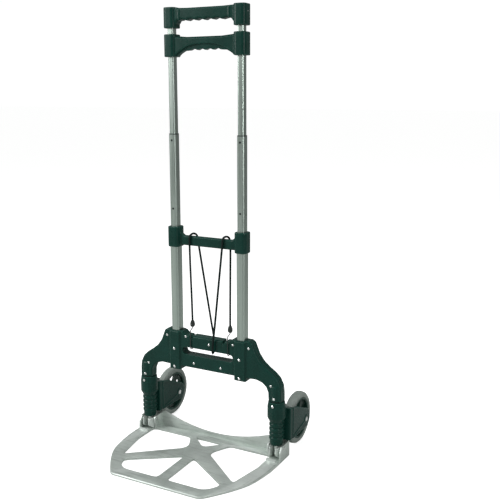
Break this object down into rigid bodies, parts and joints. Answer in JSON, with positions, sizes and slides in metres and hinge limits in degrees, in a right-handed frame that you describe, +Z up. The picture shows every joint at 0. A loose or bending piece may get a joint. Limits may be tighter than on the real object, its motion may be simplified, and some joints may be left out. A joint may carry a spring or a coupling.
{
  "type": "hand truck",
  "caption": "Folding hand truck with a telescoping handle, moulded brackets, an elastic cord, swing-in rear wheels and a ribbed toe plate that folds up with them.",
  "frame": {"origin": "on the ground at the middle of the toe plate, below the line through both wheel posts", "axes": "+Z up, -Y toward the front edge of the toe plate, +X to the right seen from the front"},
  "size_m": [0.4206, 0.4115, 1.024],
  "materials": {
    "black_plastic": "fine grain",
    "green_plastic": "moulded, satin with a fine grain",
    "tube_aluminium": "anodised, drawn along the tube",
    "plate_aluminium": "die-cast, lightly brushed",
    "zinc_steel": "bright zinc plate",
    "spring_steel": "drawn wire",
    "tyre_rubber": "grey, matt",
    "hub_plastic": "moulded, satin",
    "cord_sheath": "braided sheath over rubber strands"
  },
  "bodies": {
    "frame": {"outer_tube_left": "tube_aluminium", "outer_tube_right": "tube_aluminium", "tube_rivet_upper_left": "zinc_steel", "tube_rivet_upper_right": "zinc_steel", "tube_rivet_lower_left": "zinc_steel", "tube_rivet_lower_right": "zinc_steel", "detent_spring_left": "spring_steel", "detent_spring_right": "spring_steel", "post_left": "zinc_steel", "post_right": "zinc_steel", "post_foot_left": "plate_aluminium", "post_foot_right": "plate_aluminium", "hinge_pin_left": "zinc_steel", "hinge_pin_right": "zinc_steel", "thrust_washer_left": "black_plastic", "thrust_washer_right": "black_plastic", "cord_ferrule_left": "black_plastic", "cord_ferrule_right": "black_plastic", "cord_hook_left": "black_plastic", "cord_hook_right": "black_plastic", "base_bracket_front": "green_plastic", "base_bracket_rear": "green_plastic", "crossbar": "green_plastic", "elastic_cord": "cord_sheath"},
    "middle_stage": {"middle_tube_left": "tube_aluminium", "middle_tube_right": "tube_aluminium", "guide_bush_left": "black_plastic", "guide_bush_right": "black_plastic"},
    "upper_stage": {"upper_tube_left": "tube_aluminium", "upper_tube_right": "tube_aluminium", "lock_plug_left": "black_plastic", "lock_plug_right": "black_plastic", "handle_pin_left": "zinc_steel", "handle_pin_right": "zinc_steel", "release_spring_left": "spring_steel", "release_spring_right": "spring_steel", "top_handle": "green_plastic"},
    "grip_unit": {"release_rod_left": "zinc_steel", "release_rod_right": "zinc_steel", "grip_pin_left": "zinc_steel", "grip_pin_right": "zinc_steel", "release_grip": "green_plastic"},
    "lock_left": {"lock_pin_left": "zinc_steel"},
    "lock_right": {"lock_pin_right": "zinc_steel"},
    "detent_left": {"detent_pin_left": "zinc_steel"},
    "detent_right": {"detent_pin_right": "zinc_steel"},
    "toe_unit": {"toe_plate": "plate_aluminium"},
    "fork_left": {"wheel_fork_left": "green_plastic", "fork_rivet_left": "zinc_steel", "axle_left": "zinc_steel"},
    "fork_right": {"wheel_fork_right": "green_plastic", "fork_rivet_right": "zinc_steel", "axle_right": "zinc_steel"},
    "wheel_left": {"tyre_left": "tyre_rubber", "wheel_hub_left": "hub_plastic", "wheel_bush_left": "black_plastic"},
    "wheel_right": {"tyre_right": "tyre_rubber", "wheel_hub_right": "hub_plastic", "wheel_bush_right": "black_plastic"}
  },
  "joints": [
    {"name": "middle_slide", "type": "slide", "parent": "frame", "child": "middle_stage", "axis": [0, 0, 1], "range_m": [-0.207, 0]},
    {"name": "upper_slide", "type": "slide", "parent": "middle_stage", "child": "upper_stage", "axis": [0, 0, 1], "range_m": [-0.169, 0]},
    {"name": "release_slide", "type": "slide", "parent": "upper_stage", "child": "grip_unit", "axis": [0, 0, 1], "range_m": [0, 0.011], "stiffness_N_per_m": 500, "springref_m": -0.012, "deforming": ["release_spring_left", "release_spring_right"]},
    {"name": "lock_slide_left", "type": "slide", "parent": "upper_stage", "child": "lock_left", "axis": [1, 0, 0], "range_m": [-0.002, 0]},
    {"name": "lock_slide_right", "type": "slide", "parent": "upper_stage", "child": "lock_right", "axis": [1, 0, 0], "range_m": [-0.002, 0]},
    {"name": "detent_slide_left", "type": "slide", "parent": "frame", "child": "detent_left", "axis": [0, 1, 0], "range_m": [0, 0.0015], "stiffness_N_per_m": 400, "springref_m": -0.001, "deforming": ["detent_spring_left"]},
    {"name": "detent_slide_right", "type": "slide", "parent": "frame", "child": "detent_right", "axis": [0, 1, 0], "range_m": [0, 0.0015], "stiffness_N_per_m": 400, "springref_m": -0.001, "deforming": ["detent_spring_right"]},
    {"name": "toe_plate_fold", "type": "hinge", "parent": "frame", "child": "toe_unit", "pos_m": [0, 0, 0.0285], "axis": [-1, 0, 0], "range_deg": [0, 90]},
    {"name": "fork_swing_left", "type": "hinge", "parent": "frame", "child": "fork_left", "pos_m": [-0.1783, 0, 0.09], "axis": [0, 0, 1], "range_deg": [-90, 0]},
    {"name": "fork_swing_right", "type": "hinge", "parent": "frame", "child": "fork_right", "pos_m": [0.1783, 0, 0.09], "axis": [0, 0, 1], "range_deg": [0, 90]},
    {"name": "wheel_spin_left", "type": "hinge", "parent": "fork_left", "child": "wheel_left", "pos_m": [-0.1823, 0.104, 0.0635], "axis": [1, 0, 0], "continuous": true},
    {"name": "wheel_spin_right", "type": "hinge", "parent": "fork_right", "child": "wheel_right", "pos_m": [0.1823, 0.104, 0.0635], "axis": [1, 0, 0], "continuous": true}
  ],
  "couplings": [
    {"joint": "lock_slide_left", "follows": "release_slide", "ratio": -0.1818},
    {"joint": "lock_slide_right", "follows": "release_slide", "ratio": -0.1818},
    {"joint": "fork_swing_left", "follows": "toe_plate_fold", "ratio": -1},
    {"joint": "fork_swing_right", "follows": "toe_plate_fold", "ratio": 1}
  ]
}
